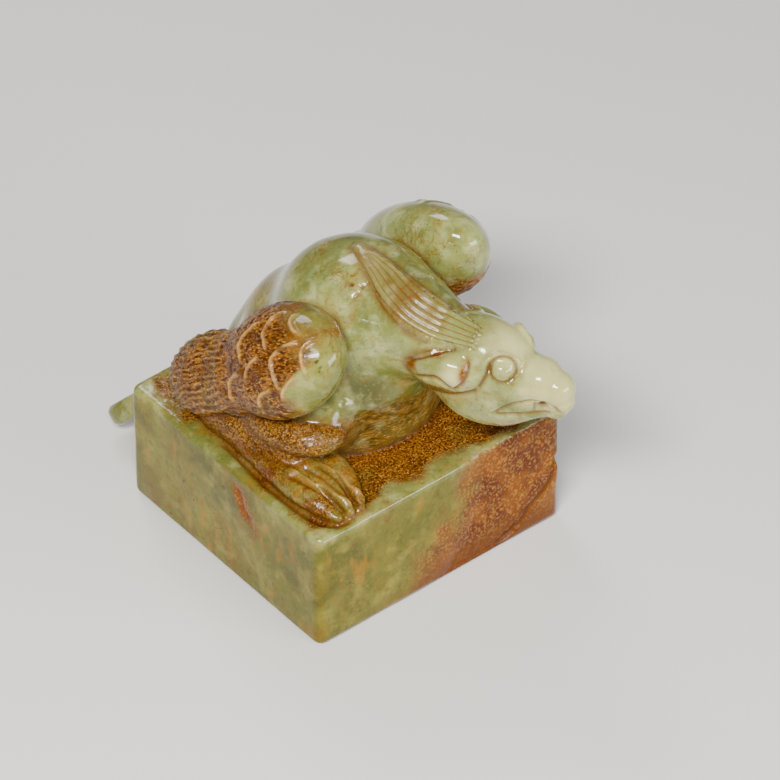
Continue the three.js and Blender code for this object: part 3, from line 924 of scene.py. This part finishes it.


# Celadon stone with clouds, flecks, stains, veins and white parts, warmer, darker with painted shade,
# and streaked in places
def stoneColour(tree, masks):
    where, warmAndShade = masks["where"], masks["warmAndShade"]
    # the olive mask holds clouds of olive stone and the painted shade of the breast and the hollow
    shade = addNode(tree, "ShaderNodeValToRGB")
    shade.color_ramp.elements[0].color = jadeLook["pale"]
    shade.color_ramp.elements[1].color = jadeLook["olive"]
    shade.color_ramp.elements.new(0.5).color = jadeLook["celadon"]
    tree.links.new(masks["olive"], shade.inputs[0])
    stone = shade.outputs[0]
    for scale, low, high, detail, distortion, most, tint in (
        (140, 0.45, 0.75, 10, 0.5, 0.5, "olive"),
        (300, 0.46, 0.7, 8, 0, 0.6, "light"),
        (900, 0.5, 0.7, 5, 0.3, 0.4, "olive"),
        (1700, 0.54, 0.7, 4, 0, 0.2, "light"),
        (100, 0.48, 0.76, 12, 1, 0.5, "yellow"),
        (700, 0.54, 0.72, 6, 0, 0.5, "yellow"),
        (420, 0.72, 0.75, 2, 0, 0.7, "speck"),
    ):
        patch = patches(tree, where, scale, low, high, detail, distortion)
        stone = layTint(tree, stone, tint, patch, most)
    # the honey multiply warms the stone and darkens it with painted shade where the mask is high
    stone = mixColour(tree, maths(tree, "MULTIPLY", warmAndShade, 0.9), stone, jadeLook["honeyAndShade"], "MULTIPLY")
    # golden streaks, upright on the block's sides
    upright = addNode(tree, "ShaderNodeMapping")
    upright.inputs["Scale"].default_value = (1, 1, 0.3)
    tree.links.new(where, upright.inputs["Vector"])
    streaks = patches(tree, upright.outputs[0], 420, 0.54, 0.68, 5)
    stone = layTint(tree, stone, "gold", streaks, patches(tree, where, 90, 0.4, 0.6, 4), warmAndShade, 0.55)
    for scale, width in ((130, 0.012), (330, 0.02)):
        veined = patches(tree, where, 110, 0.5, 0.64, 5)
        stone = layTint(tree, stone, "rust", veins(tree, where, scale, width), veined, 0.55)
    spots = patches(tree, where, 1200, 0.56, 0.66, 5)
    stone = layTint(tree, stone, "rust", spots, patches(tree, where, 130, 0.46, 0.62, 6), 0.55)
    return layTint(tree, stone, "white", masks["white"], 0.85)


# The brown skin: a grain of russet and tan, with patches of other colours and painted glints, golden
# specks of painted highlight
def skinColour(tree, where, along):
    grain = patches(tree, along, 2400, 0.4, 0.62, 6)
    brown = mixColour(tree, grain, jadeLook["russet"], jadeLook["tan"])
    for place, scale, low, high, detail, most, tint in (
        (where, 350, 0.45, 0.62, 8, 0.55, "russet"),
        (where, 170, 0.52, 0.7, 6, 0.3, "orange"),
        (where, 120, 0.52, 0.7, 5, 0.4, "olive"),
        # the last are painted glints, specks of painted highlight
        (along, 3600, 0.56, 0.66, 3, 0.75, "paintedGlint"),
    ):
        brown = layTint(tree, brown, tint, patches(tree, place, scale, low, high, detail), most)
    return brown


def flawColour(tree, where):
    depth = patches(tree, where, 190, 0.38, 0.62, 10)
    rust = mixColour(tree, depth, jadeLook["deepOrange"], jadeLook["orange"])
    # golden specks of painted highlight on the flaw
    return layTint(tree, rust, "paintedGlint", patches(tree, where, 2200, 0.5, 0.62, 5), 0.35)


# Rusty lines between the crest's locks
def lockLines(tree, masks):
    fromLine = maths(tree, "PINGPONG", masks["acrossLocks"], 0.5)
    line = mapRange(tree, fromLine, (0.13, 0.02), kind="SMOOTHSTEP")
    return maths(tree, "MULTIPLY", line, masks["onCrest"])


def jadeMaterial():
    material = bpy.data.materials.new("jade")
    material.use_nodes = True
    tree = material.node_tree
    tree.nodes.clear()
    masks = readMasks(tree)
    where, along, rough = masks["where"], masks["along"], masks["rough"]
    stone, brown = stoneColour(tree, masks), skinColour(tree, where, along)
    base = mixColour(tree, masks["skin"], stone, brown)
    base = mixColour(tree, masks["orange"], base, flawColour(tree, where))
    base = layTint(tree, base, "rust", masks["rust"])
    base = layTint(tree, base, "dirt", masks["dirt"])
    base = layTint(tree, base, "rubbed", masks["rubbed"], 0.7)
    base = layTint(tree, base, "rust", lockLines(tree, masks), 0.75)

    shader = addNode(tree, "ShaderNodeBsdfPrincipled")
    for socket, value in jadeSurface.items():
        shader.inputs[socket].default_value = value
    tree.links.new(base, shader.inputs["Base Color"])
    tree.links.new(mapRange(tree, rough, toRange=(0.12, 0.45)), shader.inputs["Roughness"])
    # the polish is a coat, and there is less of it on rough skin and on the warm stone with its painted
    # shade
    dull = maths(tree, "MAXIMUM", rough, maths(tree, "MULTIPLY", masks["warmAndShade"], 0.8))
    tree.links.new(mapRange(tree, dull, toRange=(0.6, 0.03)), shader.inputs["Coat Weight"])
    bump = addNode(tree, "ShaderNodeBump")
    bump.inputs["Distance"].default_value = 0.0004
    bump.inputs["Strength"].default_value = 0.7
    depth = mapRange(tree, rough, toRange=(0.06, 1))
    grain = maths(tree, "MULTIPLY", noise(tree, along, 1400, 3), depth)
    tree.links.new(grain, bump.inputs["Height"])
    tree.links.new(bump.outputs["Normal"], shader.inputs["Normal"])
    output = addNode(tree, "ShaderNodeOutputMaterial")
    tree.links.new(shader.outputs[0], output.inputs["Surface"])
    return material


seal.data.materials.append(jadeMaterial())
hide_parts("jade_seal")
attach(seal, "root")
print("jade laid on")

# A pale floor and soft light
stageLook = {
    "floor": 2.4,
    "floorColour": (0.72, 0.71, 0.69, 1),
    "floorRoughness": 0.55,
    "world": (0.95, 0.97, 1, 1),
    "worldStrength": 0.2,
}
deselectAll()
bpy.ops.mesh.primitive_plane_add(size=stageLook["floor"], location=(0, 0, 0))
floor = bpy.context.object
floor.name = "floor"
paleFloor = bpy.data.materials.new("paleFloor")
paleFloor.use_nodes = True
floorShader = paleFloor.node_tree.nodes["Principled BSDF"]
floorShader.inputs["Base Color"].default_value = stageLook["floorColour"]
floorShader.inputs["Roughness"].default_value = stageLook["floorRoughness"]
floor.data.materials.append(paleFloor)

world = bpy.data.worlds.new("studio")
world.use_nodes = True
background = world.node_tree.nodes["Background"]
background.inputs["Color"].default_value = stageLook["world"]
background.inputs["Strength"].default_value = stageLook["worldStrength"]
bpy.context.scene.world = world

# Soft boxes: where they hang, their size, their strength and their tint
softBoxes = {
    "key": ((-0.27, -0.22, 0.4), (0.19, 0.08), 5, (1, 0.96, 0.9)),
    "fill": ((0.17, -0.5, 0.17), (0.34, 0.12), 2.4, (0.98, 0.98, 1)),
    "back": ((0.1, 0.4, 0.45), (0.2, 0.2), 1.3, (1, 1, 1)),
}
aim = Vector((0, 0, 0.025))
for name, (place, size, power, tint) in softBoxes.items():
    bpy.ops.object.light_add(type="AREA", location=place)
    lamp = bpy.context.object
    lamp.name = name
    lamp.data.shape = "RECTANGLE"
    lamp.data.size, lamp.data.size_y = size
    lamp.data.energy = power
    lamp.data.color = tint
    lamp.rotation_euler = (Vector(place) - aim).to_track_quat("Z", "Y").to_euler()

# The camera stands where the photograph's did
cameraPlace = {
    "elevation": 0.719, "azimuth": 0.681, "distance": 0.9, "aim": (0, -0.00025, 0.025),
    "focal": 5637.8, "middle": (346.37, 386.7), "frame": 780,
}
elevation, azimuth = cameraPlace["elevation"], cameraPlace["azimuth"]
level = math.cos(elevation)
backward = Vector((-level * math.sin(azimuth), -level * math.cos(azimuth), math.sin(elevation)))
rightward = Vector((0, 0, 1)).cross(backward).normalized()
upward = backward.cross(rightward)
bpy.ops.object.camera_add(location=Vector(cameraPlace["aim"]) + cameraPlace["distance"] * backward)
camera = bpy.context.object
camera.rotation_euler = Matrix((rightward, upward, backward)).transposed().to_euler()
camera.data.sensor_width = 36
pixels = cameraPlace["frame"]
camera.data.lens = camera.data.sensor_width * cameraPlace["focal"] / pixels
camera.data.shift_x = (pixels / 2 - cameraPlace["middle"][0]) / pixels
camera.data.shift_y = -(pixels / 2 - cameraPlace["middle"][1]) / pixels
camera.data.clip_start = 0.01
bpy.context.scene.camera = camera

print("stage set")
